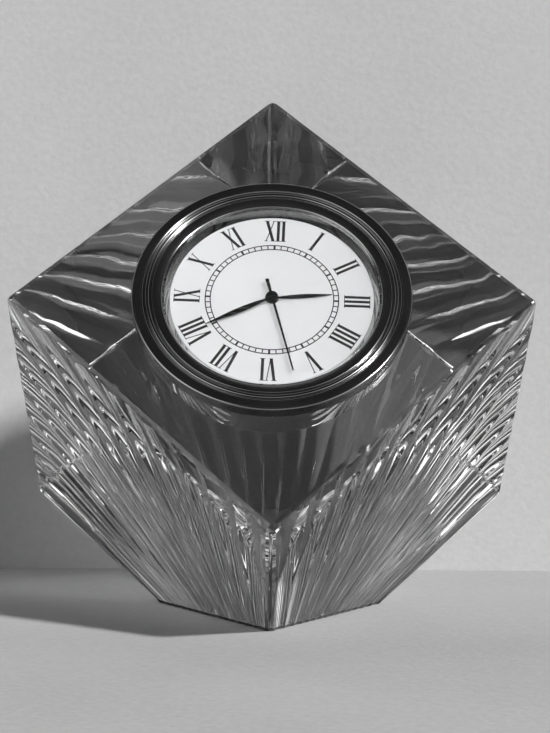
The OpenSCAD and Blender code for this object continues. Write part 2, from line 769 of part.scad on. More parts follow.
module minute_wheel() {
    bore = arbor_r + run_fit;
    color([0.85, 0.7, 0.35]) in_insert() at(minute_at) {
        translate([0, 0, minute_wheel_z])
            crossed_wheel(minute_teeth, tooth_module, wheel_t, minute_turn, 0.8, bore);
        translate([0, 0, minute_wheel_z + wheel_t - eps]) difference() {
            toothed(minute_pinion_teeth, hour_module, 0.15 + wheel_t, minute_dir + 180);
            translate([0, 0, -1]) cylinder(h = 3, r = bore, $fn = bore_fn);
        }
    }
}

module hour_wheel() {
    color([0.85, 0.7, 0.35]) in_insert() {
        translate([0, 0, hour_wheel_z])
            crossed_wheel(hour_teeth, hour_module, wheel_t, hour_turn, 1.1, hour_in_r);
        translate([0, 0, hour_wheel_z + wheel_t - eps])
            ring(hour_pipe_r, hour_in_r, hour_hand_z + hand_t - hour_wheel_z - wheel_t + eps);
    }
}

module setting_shaft() {
    front = minute_wheel_z + wheel_t;
    back = cover_back - knob_gap - knob_t;
    color([0.7, 0.7, 0.72]) in_insert() at(setting_at) {
        translate([0, 0, back + 0.3]) cylinder(h = front - back - 0.3, r = setting_shaft_r, $fn = bore_fn);
        translate([0, 0, minute_wheel_z]) toothed(setting_teeth, tooth_module, wheel_t, setting_turn);
    }
}

// Knob with a milled edge, pressed on the setting shaft
module setting_knob() {
    knob_r = knob_d / 2;
    notch_r = 0.22;
    color([0.12, 0.12, 0.13]) in_insert() at(setting_at, cover_back - knob_gap - knob_t) difference() {
        rotate_extrude($fn = fine)
            polygon([[0, 0], [knob_r - 0.2, 0], [knob_r, 0.2], [knob_r, knob_t - 0.1],
                [knob_r - 0.1, knob_t], [0, knob_t]]);
        translate([0, 0, 0.3]) cylinder(h = knob_t, r = setting_shaft_r + 0.01, $fn = bore_fn);
        for (k = [0 : knob_teeth - 1])
            rotate([0, 0, k * 360 / knob_teeth]) translate([knob_r + 0.06, 0, -1])
                cylinder(h = knob_t + 2, r = notch_r, $fn = 16);
    }
}

module coin_cell() {
    rim = 0.5;
    step = 0.35;
    color([0.75, 0.75, 0.77]) in_insert() at(cell_at, cell_back) rotate_extrude($fn = fine)
        polygon([[0, 0], [cell_r - 0.3, 0], [cell_r, 0.3], [cell_r, cell_h - step - 0.15],
            [cell_r - 0.15, cell_h - step], [cell_r - rim - 0.5, cell_h - step],
            [cell_r - rim - 0.7, cell_h], [0, cell_h]]);
}

// Strip that stands against the side of the cell, with a foot on the back of the board
module contact_positive() {
    foot = 2;
    reach = 3;
    color([0.8, 0.8, 0.78]) in_insert()
        translate([cell_at[0] - contact_w / 2, contact_side, board_back - contact_t]) {
            cube([contact_w, contact_t, reach]);
            cube([contact_w, foot, contact_t]);
        }
}

// Leaf under the cell, with a tongue that rises through the bridge to the front of the board
module contact_negative() {
    leaf = 1.5;
    color([0.8, 0.8, 0.78]) in_insert() {
        translate([riser_at[0] - leaf / 2, cell_at[1] - 1.5, plate_back - contact_t])
            cube([leaf + 2, riser_at[1] - cell_at[1] + 1.5 + contact_t / 2, contact_t]);
        translate([cell_at[0], cell_at[1], cell_front]) cylinder(h = plate_back - cell_front, r = 1.2, $fn = bore_fn);
        translate([riser_at[0] - riser_w / 2, riser_at[1] - contact_t / 2, bridge_back])
            cube([riser_w, contact_t, plate_back - bridge_back]);
    }
}

// Tapered blade, widest a third of the way out
module blade(reach, width, start, h) {
    linear_extrude(height = h)
        polygon([[-width * 0.22, start], [-width / 2, reach * 0.36], [-width * 0.3, reach * 0.72],
            [-0.05, reach], [0.05, reach], [width * 0.3, reach * 0.72], [width / 2, reach * 0.36],
            [width * 0.22, start]]);
}

module hour_hand() {
    color([0.05, 0.05, 0.05]) in_insert() rotate([0, 0, -hour_angle]) translate([0, 0, hour_hand_z])
        difference() {
            union() {
                blade(hour_hand_len, hour_hand_w, hub_r - 0.3, hand_t);
                cylinder(h = hand_t, r = hub_r, $fn = bore_fn);
            }
            translate([0, 0, -1]) cylinder(h = hand_t + 2, r = hour_pipe_r + eps, $fn = bore_fn);
        }
}

module minute_hand() {
    color([0.05, 0.05, 0.05]) in_insert() rotate([0, 0, -minute_angle]) translate([0, 0, minute_hand_z])
        difference() {
            union() {
                blade(minute_hand_len, minute_hand_w, hub_r - 0.4, hand_t);
                cylinder(h = hand_t, r = hub_r - 0.05, $fn = bore_fn);
            }
            translate([0, 0, -1]) cylinder(h = hand_t + 2, r = cannon_r + eps, $fn = bore_fn);
        }
}

module second_hand() {
    tail_w = 0.55;
    boss_h = 0.06;
    color([0.05, 0.05, 0.05]) in_insert() rotate([0, 0, -second_angle]) translate([0, 0, second_hand_z]) {
        linear_extrude(height = second_hand_t)
            polygon([[-second_hand_w / 2, 0], [-0.08, second_hand_len], [0.08, second_hand_len],
                [second_hand_w / 2, 0], [tail_w / 2, -second_tail_len], [-tail_w / 2, -second_tail_len]]);
        cylinder(h = second_hand_t + boss_h, r = hub_r - 0.12, $fn = bore_fn);
    }
}

crystal_block();
bezel();
lens();
reflector_ring();
dial();
insert_case();
gasket_band();
rear_cover();
battery_cap();
main_plate();
centre_bridge();
train_bridge();
plate_screws();
circuit_board();
chip_cover();
quartz_can();
coil_core();
coil_bobbin();
coil_winding();
stator();
rotor();
step_wheel();
seconds_wheel();
third_wheel();
centre_wheel();
cannon_pinion();
minute_wheel();
hour_wheel();
setting_shaft();
setting_knob();
coin_cell();
contact_positive();
contact_negative();
hour_hand();
minute_hand();
second_hand();
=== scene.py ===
# Crystal cube clock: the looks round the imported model. Lengths in the dictionaries are in millimetres.
import math

import bmesh
import bpy
from mathutils import Matrix, Vector


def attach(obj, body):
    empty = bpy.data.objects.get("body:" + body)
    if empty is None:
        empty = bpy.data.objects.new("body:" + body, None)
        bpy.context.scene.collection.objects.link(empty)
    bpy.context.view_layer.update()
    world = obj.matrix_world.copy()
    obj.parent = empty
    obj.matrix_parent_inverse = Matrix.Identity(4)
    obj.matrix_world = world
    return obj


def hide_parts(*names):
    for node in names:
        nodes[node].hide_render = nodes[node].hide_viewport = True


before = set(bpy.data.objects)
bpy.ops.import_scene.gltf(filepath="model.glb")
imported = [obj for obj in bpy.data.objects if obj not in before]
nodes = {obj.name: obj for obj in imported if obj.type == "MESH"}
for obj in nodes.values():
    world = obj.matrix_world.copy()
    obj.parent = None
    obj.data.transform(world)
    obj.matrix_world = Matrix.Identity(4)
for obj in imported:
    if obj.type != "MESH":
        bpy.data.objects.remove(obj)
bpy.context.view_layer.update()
scene = bpy.context.scene
mm = 0.001

camera = {
    "place": (-0.736, -321.77, 45.48),
    "look": (0.00424, 0.99984, -0.01764),
    "right": (0.99997, -0.00413, 0.00638),
    "lens": 129.95,
    "sensor": 36,
}


def makeCamera():
    data = bpy.data.cameras.new("camera")
    data.sensor_fit = "HORIZONTAL"
    data.sensor_width = camera["sensor"]
    data.lens = camera["lens"]
    data.clip_start = 0.01
    look = Vector(camera["look"]).normalized()
    right = Vector(camera["right"]).normalized()
    turn = Matrix((right, right.cross(look), -look)).transposed().to_4x4()
    obj = bpy.data.objects.new("camera", data)
    obj.matrix_world = Matrix.Translation(Vector(camera["place"]) * mm) @ turn
    scene.collection.objects.link(obj)
    scene.camera = obj


makeCamera()
print("camera made")

block = {
    "side": 57,
    "cornerCut": 26.9,
    "edgeBevel": 1.05,
    "edgeSegments": 3,
    "boreRadius": 18.5,
    "boreDepth": 13.6,
    "boreSides": 160,
    "flutes": 15,
    "fluteStep": 5.73,  # degrees
    "fluteSteps": 24,  # facets across one flute
    "crest": 0.04,  # share of a flute that its rounded crest takes
    "fluteReach": (12, 22, 28, 34, 40, 45, 50, 54, 58, 62, 68, 75, 100),  # radii of the fan's rings
    # Places on the way to the edge, as shares of the side, and how deep the flutes are there
    "fluteDepths": ((0.2, 0.06), (0.6, 0.32), (0.9, 0.82), (1.0, 0.3), (2.0, 0.1)),
    "fanEnd": 0.03,  # how far outside the face both ends of a fan lie
    "cutterThick": 6,
    "cutterOver": 2,
    "insertTurn": 2.2,  # degrees
    "ior": 1.52,
    "waviness": 0.2,
    "waveScale": 55,  # per metre
    "sharp": 12,  # degrees
}

# The cube's three edges at its cut corner, and the frames of the front face and of the insert
edgeFront = Vector((0, -math.sqrt(2 / 3), math.sqrt(1 / 3)))
edgeLeft = Vector((-math.sqrt(1 / 2), math.sqrt(1 / 6), math.sqrt(1 / 3)))
edgeRight = Vector((math.sqrt(1 / 2), math.sqrt(1 / 6), math.sqrt(1 / 3)))
cutCorner = Vector((0, 0, -block["cornerCut"] / math.sqrt(3)))


def frameOf(x, y, z, place):
    turn = Matrix((x, y, z)).transposed().to_4x4()
    return Matrix.Scale(mm, 4) @ Matrix.Translation(place) @ turn


half = block["side"] / 2
faceCentre = cutCorner + edgeFront * block["side"] + (edgeLeft + edgeRight) * half
faceUp = (edgeLeft + edgeRight).normalized()
faceFrame = frameOf(Vector((1, 0, 0)), faceUp, edgeFront, faceCentre)
insertFrame = faceFrame @ Matrix.Rotation(math.radians(-block["insertTurn"]), 4, "Z")


# Shared effects: groups of shader nodes, each built once
def newGroup(name, inputs, outputs):
    group = bpy.data.node_groups.new(name, "ShaderNodeTree")
    for label, kind, value in inputs:
        socket = group.interface.new_socket(label, in_out="INPUT", socket_type=kind)
        if value is not None:
            socket.default_value = value
    for label in outputs:
        group.interface.new_socket(label, in_out="OUTPUT", socket_type="NodeSocketFloat")
    start = group.nodes.new("NodeGroupInput")
    end = group.nodes.new("NodeGroupOutput")
    return group, start.outputs, end.inputs


def mathNode(tree, operation, first, second=None, clamp=False):
    node = tree.nodes.new("ShaderNodeMath")
    node.operation = operation
    node.use_clamp = clamp
    for socket, value in zip(node.inputs, (first, second)):
        if isinstance(value, (int, float)):
            socket.default_value = value
        elif value is not None:
            tree.links.new(value, socket)
    return node.outputs[0]


def vectorNode(tree, operation, first, second=None):
    node = tree.nodes.new("ShaderNodeVectorMath")
    node.operation = operation
    tree.links.new(first, node.inputs[0])
    if second is not None:
        node.inputs[1].default_value = second
    return node.outputs["Value" if operation in ("LENGTH", "DOT_PRODUCT") else "Vector"]


def noiseNode(tree, vector, scale, detail, dimensions="3D"):
    node = tree.nodes.new("ShaderNodeTexNoise")
    node.noise_dimensions = dimensions
    tree.links.new(vector, node.inputs["W" if dimensions == "1D" else "Vector"])
    if isinstance(scale, (int, float)):
        node.inputs["Scale"].default_value = scale
    else:
        tree.links.new(scale, node.inputs["Scale"])
    node.inputs["Detail"].default_value = detail
    return node.outputs[0]


def grainMarks(group, vector, scale):
    return noiseNode(group, vector, scale, 2)


# Rings about the insert's axis
def ringMarks(group, vector, scale):
    flat = vectorNode(group, "MULTIPLY", vector, (1, 1, 0))
    return noiseNode(group, vectorNode(group, "LENGTH", flat), scale, 2, "1D")


def lineMarks(group, vector, scale):
    return noiseNode(group, vectorNode(group, "MULTIPLY", vector, (0.03, 1, 1)), scale, 2)


# Fine marks and a wide cloud are added up by their share, and stretched to a tone from 0 to 1
def patternGroup(name, label, scales, makeMarks, share, low, gain):
    group, given, out = newGroup(
        name,
        [
            ("Vector", "NodeSocketVector", None),
            (label, "NodeSocketFloat", scales[0]),
            ("Cloud", "NodeSocketFloat", scales[1]),
        ],
        ["Height", "Tone"],
    )
    marks = makeMarks(group, given["Vector"], given[label])
    cloud = noiseNode(group, given["Vector"], given["Cloud"], 4)
    marksPart = mathNode(group, "MULTIPLY", marks, share)
    cloudPart = mathNode(group, "MULTIPLY", cloud, 1 - share)
    mixed = mathNode(group, "ADD", marksPart, cloudPart)
    tone = mathNode(group, "MULTIPLY", mathNode(group, "SUBTRACT", mixed, low), gain, clamp=True)
    group.links.new(marks, out["Height"])
    group.links.new(tone, out["Tone"])
    return group


groups = {
    "grain": patternGroup("fineGrain", "Grain", (3000, 90), grainMarks, 0.5, 0.34, 3.2),
    "lathe": patternGroup("latheMarks", "Rings", (6000, 120), ringMarks, 0.6, 0.3, 2.5),
    "brush": patternGroup("brushLines", "Lines", (5000, 150), lineMarks, 0.6, 0.3, 2.5),
}
print("shared effects made")


def mixRange(tree, fac, low, high):
    node = tree.nodes.new("ShaderNodeMapRange")
    tree.links.new(fac, node.inputs["Value"])
    node.inputs["To Min"].default_value = low
    node.inputs["To Max"].default_value = high
    return node.outputs["Result"]


def mixColour(tree, fac, low, high):
    node = tree.nodes.new("ShaderNodeMix")
    node.data_type = "RGBA"
    tree.links.new(fac, node.inputs[0])
    node.inputs[6].default_value = (*low, 1)
    node.inputs[7].default_value = (*high, 1)
    return node.outputs[2]


# From the model's frame to the insert's, so that lathe marks run about its axis
def insertCoords(tree):
    coords = tree.nodes.new("ShaderNodeTexCoord")
    mapping = tree.nodes.new("ShaderNodeMapping")
    mapping.vector_type = "TEXTURE"
    mapping.inputs["Location"].default_value = insertFrame.to_translation()
    mapping.inputs["Rotation"].default_value = insertFrame.to_euler("XYZ")
    tree.links.new(coords.outputs["Object"], mapping.inputs["Vector"])
    return mapping.outputs["Vector"]


def addRelief(tree, height, deep):
    relief = tree.nodes.new("ShaderNodeBump")
    relief.inputs["Distance"].default_value = deep * mm
    tree.links.new(height, relief.inputs["Height"])
    tree.links.new(relief.outputs["Normal"], tree.nodes["Principled BSDF"].inputs["Normal"])


# A finish: the pattern's group, the scales per metre of its marks and cloud, colour and roughness at
# both ends of its tone, metal or not, and how deep the bump is in millimetres
def makeFinish(name, pattern, scales, low, high, rough, metal=0, bump=0.002, coat=0):
    material = bpy.data.materials.new(name)
    material.use_nodes = True
    tree = material.node_tree
    shader = tree.nodes["Principled BSDF"]
    effect = tree.nodes.new("ShaderNodeGroup")
    effect.node_tree = groups[pattern]
    tree.links.new(insertCoords(tree), effect.inputs[0])
    effect.inputs[1].default_value = scales[0]
    effect.inputs[2].default_value = scales[1]
    tree.links.new(mixColour(tree, effect.outputs["Tone"], low, high), shader.inputs["Base Color"])
    tree.links.new(mixRange(tree, effect.outputs["Tone"], *rough), shader.inputs["Roughness"])
    shader.inputs["Metallic"].default_value = metal
    shader.inputs["Coat Weight"].default_value = coat
    if bump:
        addRelief(tree, effect.outputs["Height"], bump)
    material.diffuse_color = (*high, 1)
    return material


def grey(value):
    return (value, value, value)


def meshObject(bm, name):
    mesh = bpy.data.meshes.new(name)
    bm.to_mesh(mesh)
    bm.free()
    obj = bpy.data.objects.new(name, mesh)
    scene.collection.objects.link(obj)
    return obj


# Pieces are finished here: doubles merged, faces outwards, smooth with sharp edges kept
def finishPiece(bm, name, material, body, replaces=(), sharp=30):
    bmesh.ops.remove_doubles(bm, verts=bm.verts, dist=1e-6)
    bmesh.ops.recalc_face_normals(bm, faces=bm.faces)
    for face in bm.faces:
        face.smooth = True
    for edge in bm.edges:
        edge.smooth = len(edge.link_faces) == 2 and edge.calc_face_angle(0) < math.radians(sharp)
    obj = meshObject(bm, name)
    obj.data.materials.append(material)
    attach(obj, body)
    if replaces:
        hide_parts(*replaces)


def closedOutline(bm, places, roundings, segments):
    verts = [bm.verts.new(place) for place in places]
    for a, b in zip(verts, verts[1:] + verts[:1]):
        bm.edges.new((a, b))
    for vert, rounding in zip(verts, roundings):
        if rounding:
            bmesh.ops.bevel(
                bm, geom=[vert], offset=rounding, segments=segments, profile=0.5, affect="VERTICES",
                material=-1,
            )


# Section points are (radius, height, rounding); the closed outline is spun about z
def newSpun(points, sides, matrix=insertFrame):
    bm = bmesh.new()
    closedOutline(bm, [(r, 0, z) for r, z, _ in points], [point[2] for point in points], 5)
    edges = [e for e in bm.edges if not e.link_faces and all(abs(v.co.y) < 1e-9 for v in e.verts)]
    ends = list({v for e in edges for v in e.verts})
    bmesh.ops.spin(
        bm, geom=ends + edges, cent=(0, 0, 0), axis=(0, 0, 1), angle=2 * math.pi, steps=sides,
        use_merge=True,
    )
    bmesh.ops.transform(bm, matrix=matrix, verts=bm.verts)
    return bm


def addSpun(bm, points, sides, matrix):
    ring = newSpun(points, sides, matrix)
    spare = bpy.data.meshes.new("spare")
    ring.to_mesh(spare)
    ring.free()
    bm.from_mesh(spare)
    bpy.data.meshes.remove(spare)


def glassMaterial(name, ior, colour, waviness=0, waveScale=1):
    material = bpy.data.materials.new(name)
    material.use_nodes = True
    tree = material.node_tree
    shader = tree.nodes["Principled BSDF"]
    shader.inputs["Base Color"].default_value = (*colour, 1)
    shader.inputs["Roughness"].default_value = 0
    shader.inputs["IOR"].default_value = ior
    shader.inputs["Transmission Weight"].default_value = 1
    if waviness:
        coords = tree.nodes.new("ShaderNodeTexCoord")
        addRelief(tree, noiseNode(tree, coords.outputs["Object"], waveScale, 1), waviness)
    return material


# Crystal block: a bevelled cube on its cut corner, less the bore and three fans of rounded flutes
def looseObject(bm, name):
    bmesh.ops.recalc_face_normals(bm, faces=bm.faces)
    return meshObject(bm, name)


# How high one flute stands across its width: round inside, with a small rounded crest at both sides
def fluteHeight(share):
    x = abs(2 * share - 1)
    floor = 1 - block["crest"]
    return 1 - x * x / floor if x < floor else (1 - x) ** 2 / (1 - floor)


def depthAt(share):
    for (low, lowDepth), (high, highDepth) in zip(block["fluteDepths"], block["fluteDepths"][1:]):
        if share < high:
            return lowDepth + (highDepth - lowDepth) * (share - low) / (high - low)
    return highDepth


# One fan of flutes as a solid that cuts: an arc about the corner drawn outwards, waved, then thickened
def fluteCutter(matrix):
    steps = block["flutes"] * block["fluteSteps"]
    sweep = math.radians(block["flutes"] * block["fluteStep"])
    radii = block["fluteReach"]
    bm = bmesh.new()
    first = bmesh.ops.create_vert(bm, co=(radii[0], 0, 0))["vert"]
    bmesh.ops.rotate(bm, verts=first, matrix=Matrix.Rotation(math.pi / 4 - sweep / 2, 3, "Z"))
    bmesh.ops.spin(bm, geom=first, cent=(0, 0, 0), axis=(0, 0, 1), angle=sweep, steps=steps)
    rim = bm.edges[:]
    for inner, outer in zip(radii, radii[1:]):
        grown = bmesh.ops.extrude_edge_only(bm, edges=rim)["geom"]
        rim = [e for e in grown if isinstance(e, bmesh.types.BMEdge)]
        moved = [v for v in grown if isinstance(v, bmesh.types.BMVert)]
        bmesh.ops.scale(bm, verts=moved, vec=(outer / inner,) * 3)
    for vert in bm.verts:
        turn = math.atan2(vert.co.y, vert.co.x) - math.pi / 4 + sweep / 2
        share = (turn / sweep * block["flutes"]) % 1
        onEnd = min(turn, sweep - turn) < 1e-6
        toEdge = max(vert.co.x, vert.co.y) / block["side"]
        vert.co.z = -block["fanEnd"] if onEnd else fluteHeight(share) * depthAt(toEdge)
    skin = bmesh.ops.extrude_face_region(bm, geom=bm.faces[:])["geom"]
    for vert in skin:
        if isinstance(vert, bmesh.types.BMVert):
            vert.co.z = -block["cutterThick"]
    bmesh.ops.transform(bm, matrix=matrix, verts=bm.verts)
    return looseObject(bm, "fluteCutter")


def boreCutter():
    radius, over = block["boreRadius"], block["cutterOver"]
    deep = block["boreDepth"] + over
    bm = bmesh.new()
    bmesh.ops.create_cone(
        bm, cap_ends=True, segments=block["boreSides"], radius1=radius, radius2=radius, depth=deep
    )
    bmesh.ops.translate(bm, verts=bm.verts, vec=(0, 0, over - deep / 2))
    bmesh.ops.transform(bm, matrix=faceFrame, verts=bm.verts)
    return looseObject(bm, "boreCutter")


def makeCrystal():
    side, cut = block["side"], block["cornerCut"]
    bm = bmesh.new()
    bmesh.ops.create_cube(bm, size=side)
    bmesh.ops.translate(bm, verts=bm.verts, vec=(side / 2,) * 3)
    bmesh.ops.bevel(
        bm, geom=bm.edges[:], offset=block["edgeBevel"], segments=block["edgeSegments"], profile=0.5,
        affect="EDGES", material=-1,
    )
    bmesh.ops.bisect_plane(
        bm, geom=bm.verts[:] + bm.edges[:] + bm.faces[:], plane_co=(cut / 3,) * 3, plane_no=(1, 1, 1),
        clear_inner=True,
    )
    bmesh.ops.holes_fill(bm, edges=[e for e in bm.edges if e.is_boundary], sides=0)
    bmesh.ops.transform(bm, matrix=frameOf(edgeFront, edgeLeft, edgeRight, cutCorner), verts=bm.verts)
    whole = looseObject(bm, "wholeBlock")
    cutters = [
        boreCutter(),
        fluteCutter(frameOf(edgeFront, edgeLeft, edgeRight, cutCorner)),
        fluteCutter(frameOf(edgeFront, edgeRight, edgeLeft, cutCorner)),
        fluteCutter(frameOf(edgeLeft, edgeRight, edgeFront, cutCorner)),
    ]
    for cutter in cutters:
        modifier = whole.modifiers.new("cut", "BOOLEAN")
        modifier.operation = "DIFFERENCE"
        modifier.solver = "EXACT"
        modifier.object = cutter
    bpy.context.view_layer.update()
    evaluated = whole.evaluated_get(bpy.context.evaluated_depsgraph_get())
    carved = bpy.data.meshes.new_from_object(evaluated)
    for spare in [whole, *cutters]:
        bpy.data.objects.remove(spare)
    bm = bmesh.new()
    bm.from_mesh(carved)
    bmesh.ops.remove_doubles(bm, verts=bm.verts, dist=2e-6)
    bmesh.ops.dissolve_degenerate(bm, dist=1e-6, edges=bm.edges)
    openEdges = sum(1 for e in bm.edges if len(e.link_faces) != 2)
    volume = round(bm.calc_volume() * 1e9)
    print("crystal:", len(bm.faces), "faces,", openEdges, "open edges,", volume, "mm3")
    crystal = glassMaterial(
        "leadCrystal", block["ior"], (1, 1, 1), block["waviness"], block["waveScale"]
    )
    finishPiece(bm, "crystalCube", crystal, "block", ["crystal_block"], sharp=block["sharp"])


makeCrystal()

# Bezel and lens, heights over the glass
bezel = {
    "outer": 21.05,
    "height": 2.0,
    "band": 1.7,
    "seat": 16.45,
    "lip": 1.63,
    "skirtOuter": 16.95,
    "skirtDepth": 1.2,
    "sides": 256,
}


def bezelPoints():
    top, band = bezel["height"], bezel["outer"] - bezel["band"]
    return [
        (bezel["seat"], -bezel["skirtDepth"], 0),
        (bezel["skirtOuter"], -bezel["skirtDepth"], 0),
        (bezel["skirtOuter"], 0.0, 0),
        (bezel["outer"] - 0.08, 0.0, 0),
        (bezel["outer"], 0.12, 0.04),
        (bezel["outer"], top, 0.3),  # flat outer band
        (band + 0.04, top - 0.02, 0.08),
        (band - 0.16, top - 0.34, 0.05),  # groove
        (band - 0.34, top - 0.34, 0.05),
        (band - 0.42, top - 0.02, 0.12),  # bead
        (band - 0.9, top, 0.14),
        (band - 1.02, top - 0.36, 0.05),  # inner groove
        (band - 1.26, top - 0.36, 0.05),
        (band - 1.36, top - 0.1, 0.07),  # inner band, down to the lens
        (bezel["seat"] + 0.16, bezel["lip"] + 0.02, 0.07),
        (bezel["seat"], bezel["lip"] - 0.12, 0.05),
    ]


gunmetal = makeFinish(
    "gunmetal", "lathe", (5000, 90), grey(0.18), grey(0.35), (0.1, 0.2), metal=1, bump=0.0012
)
finishPiece(
    newSpun(bezelPoints(), bezel["sides"]), "bezelRing", gunmetal, "insert", ["bezel"]
)

lens = {"radius": 16.42, "back": 1.05, "top": 1.55, "bevel": 0.12, "ior": 1.49, "sides": 192}
lensPoints = [
    (0, lens["back"], 0),
    (lens["radius"], lens["back"], 0.05),
    (lens["radius"], lens["top"], lens["bevel"]),
    (0, lens["top"], 0),
]
lensGlass = glassMaterial("lensAcrylic", lens["ior"], (0.98, 0.985, 0.99))
finishPiece(newSpun(lensPoints, lens["sides"]), "lensDisc", lensGlass, "insert", ["lens"])

reflector = {"show": 15.2, "outer": 16.42, "low": -0.01, "top": 1.05, "lip": 0.25, "sides": 192}
reflectorPoints = [
    (reflector["show"], reflector["low"], 0),
    (reflector["outer"], reflector["low"], 0),
    (reflector["outer"], reflector["top"], 0),
    (reflector["outer"] - reflector["lip"], reflector["top"], 0.04),
    (reflector["show"], reflector["low"] + 0.08, 0.02),
]
polished = makeFinish(
    "polishedReflector", "lathe", (3000, 80), grey(0.42), grey(0.52), (0.03, 0.07), metal=1, bump=0.0004
)
finishPiece(
    newSpun(reflectorPoints, reflector["sides"]), "reflectorCone", polished, "insert",
    ["reflector_ring"],
)
print("bezel, lens and reflector made")

# Dial print: Roman numerals with their feet to the centre, and a minute track, as a film of ink
dial = {
    "front": -0.01,
    "ink": 0.02,
    "foot": 10.75,
    "head": 14.65,
    "thick": 0.44,
    "thin": 0.13,
    "serif": 0.1,
    "serifOver": 0.17,
    "ringInner": 9.2,
    "ringOuter": 9.95,
    "ringLine": 0.16,
    "ringSides": 180,
    "tick": 0.16,
    "hourTick": 0.3,
}
numerals = ["XII", "I", "II", "III", "IIII", "V", "VI", "VII", "VIII", "IX", "X", "XI"]
# Each letter's width and strokes: x at the foot and the head, weight, serif at the foot and the head
letters = {
    "I": (0.8, [(0, 0, "thick", True, True)]),
    "V": (1.75, [(0.04, -0.52, "thick", False, True), (0.12, 0.6, "thin", False, True)]),
    "X": (1.7, [(0.52, -0.52, "thick", True, True), (-0.56, 0.56, "thin", True, True)]),
}


# A stroke between two heights, slanted by its own ends, cut level at both
def inkStroke(bm, turn, low, high, xLow, xHigh, width):
    slant = (xHigh - xLow) / (high - low)
    wide = width * math.sqrt(1 + slant * slant)
    shape = Matrix.Identity(4)
    shape[0][0] = wide
    shape[1][1] = high - low
    shape[2][2] = dial["ink"]
    shape[0][1] = xHigh - xLow
    place = Matrix.Translation(((xLow + xHigh) / 2, (low + high) / 2, dial["front"] + dial["ink"] / 2))
    bmesh.ops.create_cube(bm, size=1, matrix=insertFrame @ turn @ place @ shape)


def inkSerif(bm, turn, x, level, inward, width):
    reach = width / 2 + dial["serifOver"]
    ends = sorted((level, level + inward * dial["serif"]))
    for side in (-1, 1):
        inkStroke(bm, turn, *ends, x + side * reach / 2, x + side * reach / 2, reach)


def inkLetter(bm, turn, strokes, x):
    low, high = dial["foot"], dial["head"]
    for foot, head, weight, footSerif, headSerif in strokes:
        width = dial[weight]
        inkStroke(bm, turn, low, high, x + foot, x + head, width)
        if footSerif:
            inkSerif(bm, turn, x + foot, low, 1, width)
        if headSerif:
            inkSerif(bm, turn, x + head, high, -1, width)


def makePrint():
    bm = bmesh.new()
    for hour, numeral in enumerate(numerals):
        turn = Matrix.Rotation(math.radians(-30 * hour), 4, "Z")
        x = -sum(letters[letter][0] for letter in numeral) / 2
        for letter in numeral:
            width, strokes = letters[letter]
            inkLetter(bm, turn, strokes, x + width / 2)
            x += width
    for minute in range(60):
        turn = Matrix.Rotation(math.radians(-6 * minute), 4, "Z")
        width = dial["hourTick"] if minute % 5 == 0 else dial["tick"]
        inkStroke(bm, turn, dial["ringInner"], dial["ringOuter"], 0, 0, width)
    low, top = dial["front"], dial["front"] + dial["ink"]
    for radius in (dial["ringInner"], dial["ringOuter"]):
        inner, outer = radius - dial["ringLine"] / 2, radius + dial["ringLine"] / 2
        ring = [(inner, low, 0), (outer, low, 0), (outer, top, 0), (inner, top, 0)]
        addSpun(bm, ring, dial["ringSides"], insertFrame)
    ink = makeFinish("dialInk", "grain", (9000, 400), grey(0.006), grey(0.014), (0.4, 0.55), bump=0)
    finishPiece(bm, "dialPrint", ink, "insert")


makePrint()
print("dial printed")

# Hands: leaf shaped for hours and minutes, a thin needle with a tail for seconds
hands = {
    "hour": {
        "angle": 83.5, "length": 9.0, "width": 0.98, "z": 0.15, "thick": 0.12, "hub": 1.02, "bore": 0.71,
    },
    "minute": {
        "angle": 241, "length": 10.9, "width": 1.12, "z": 0.39, "thick": 0.12, "hub": 0.97, "bore": 0.5,
    },
    "second": {
        "angle": 164.5, "length": 13.7, "width": 0.38, "z": 0.63, "thick": 0.1, "hub": 0.9, "bore": 0,
    },
    "boss": 0.06,  # how far the second hand's hub stands over it
    "hubSides": 96,
    "softening": 0.025,
    "leaf": {"root": 0.12, "tip": 0.05, "belly": 0.42, "rounding": 2.4, "gap": 0.1},
    "needle": {"tip": 0.11, "shoulder": 0.3, "neck": -0.6, "tail": -3.3, "tailWidth": 0.55},
}
handFinish = makeFinish(
    "blackedSteel", "brush", (3000, 200), grey(0.008), grey(0.02), (0.22, 0.32), bump=0.0004, coat=0.4
)


def outlineSolid(bm, points, z, thick):
    closedOutline(bm, [(x, y, z) for x, y, _ in points], [point[2] for point in points], 8)
    loop = [e for e in bm.edges if not e.link_faces]
    face = bmesh.ops.contextual_create(bm, geom=loop)["faces"]
    grown = bmesh.ops.extrude_face_region(bm, geom=face)["geom"]
    risen = [v for v in grown if isinstance(v, bmesh.types.BMVert)]
    bmesh.ops.translate(bm, verts=risen, vec=(0, 0, thick))
    rim = [e for e in bm.edges if all(v in risen for v in e.verts) and len(e.link_faces) == 2]
    bmesh.ops.bevel(
        bm, geom=rim, offset=hands["softening"], segments=2, profile=0.5, affect="EDGES", material=-1
    )


def makeHand(name, hand, points, boss, body, node):
    bm = bmesh.new()
    outlineSolid(bm, points, hand["z"], hand["thick"])
    bore, hub, low, top = hand["bore"], hand["hub"], hand["z"], hand["z"] + (hand["thick"] + boss)
    disc = [(bore, low, 0), (hub, low, 0), (hub, top, 0.03), (bore, top, 0)]
    addSpun(bm, disc, hands["hubSides"], Matrix.Identity(4))
    turn = Matrix.Rotation(math.radians(-hand["angle"]), 4, "Z")
    bmesh.ops.transform(bm, matrix=insertFrame @ turn, verts=bm.verts)
    finishPiece(bm, name, handFinish, body, [node])


